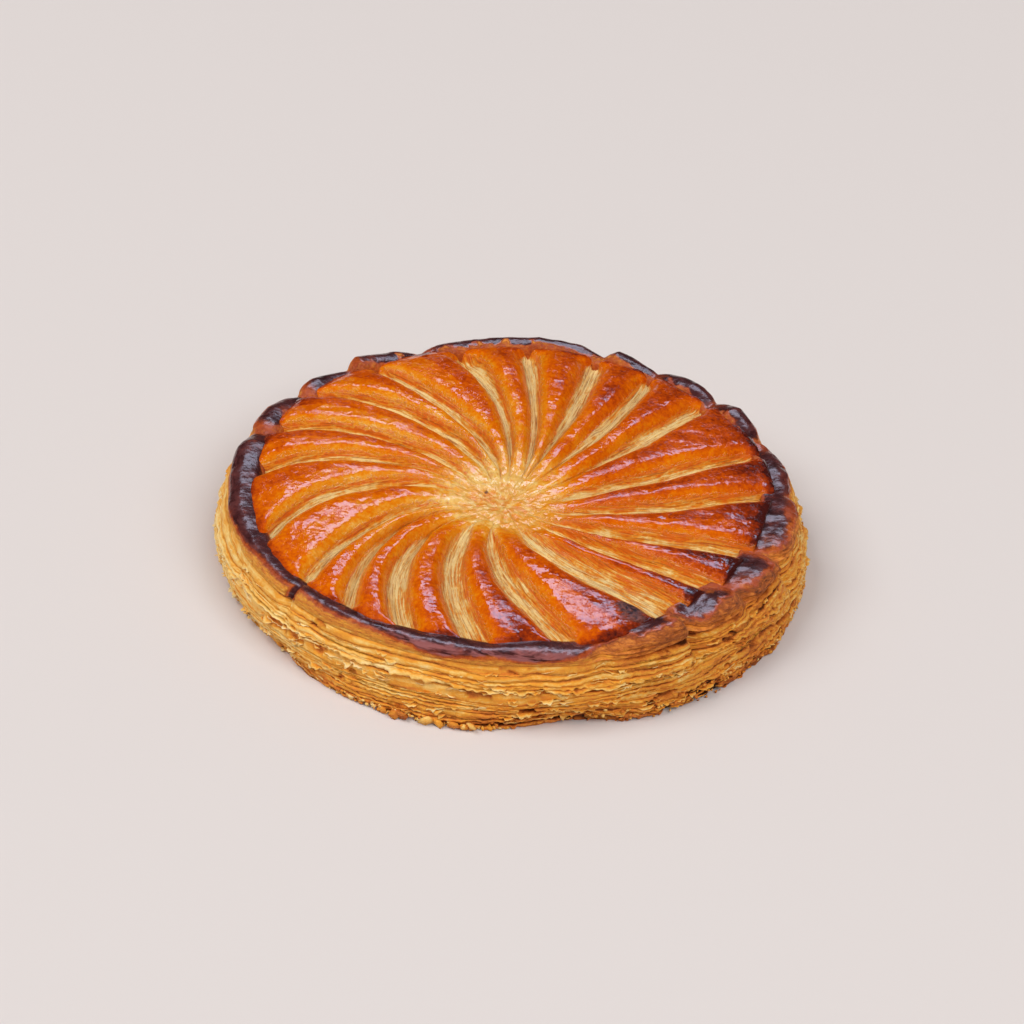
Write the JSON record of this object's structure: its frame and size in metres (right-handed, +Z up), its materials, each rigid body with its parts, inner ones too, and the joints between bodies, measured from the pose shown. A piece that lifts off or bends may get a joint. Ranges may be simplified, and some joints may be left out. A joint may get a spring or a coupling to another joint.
{
  "type": "galette des rois",
  "caption": "Round, flat puff pastry cake with a domed lid scored in a swirl of petals, a notched rolled rim and a layered side, resting on its flat base.",
  "frame": {"origin": "centre of the flat base, on the surface that the cake rests on", "axes": "+Z up out of the lid; +Y away from the side of the cake that faces the viewer, +X to the viewer's right"},
  "size_m": [0.2594, 0.2594, 0.0376],
  "materials": {
    "layered_crust": "dry flaky puff pastry, golden with brown leaf edges",
    "glazed_lid": "egg washed and syrup glazed crust, orange brown, glossy",
    "browned_rim": "dark mahogany glazed crust, glossy"
  },
  "bodies": {
    "root": {"galette": "layered_crust"}
  },
  "joints": []
}
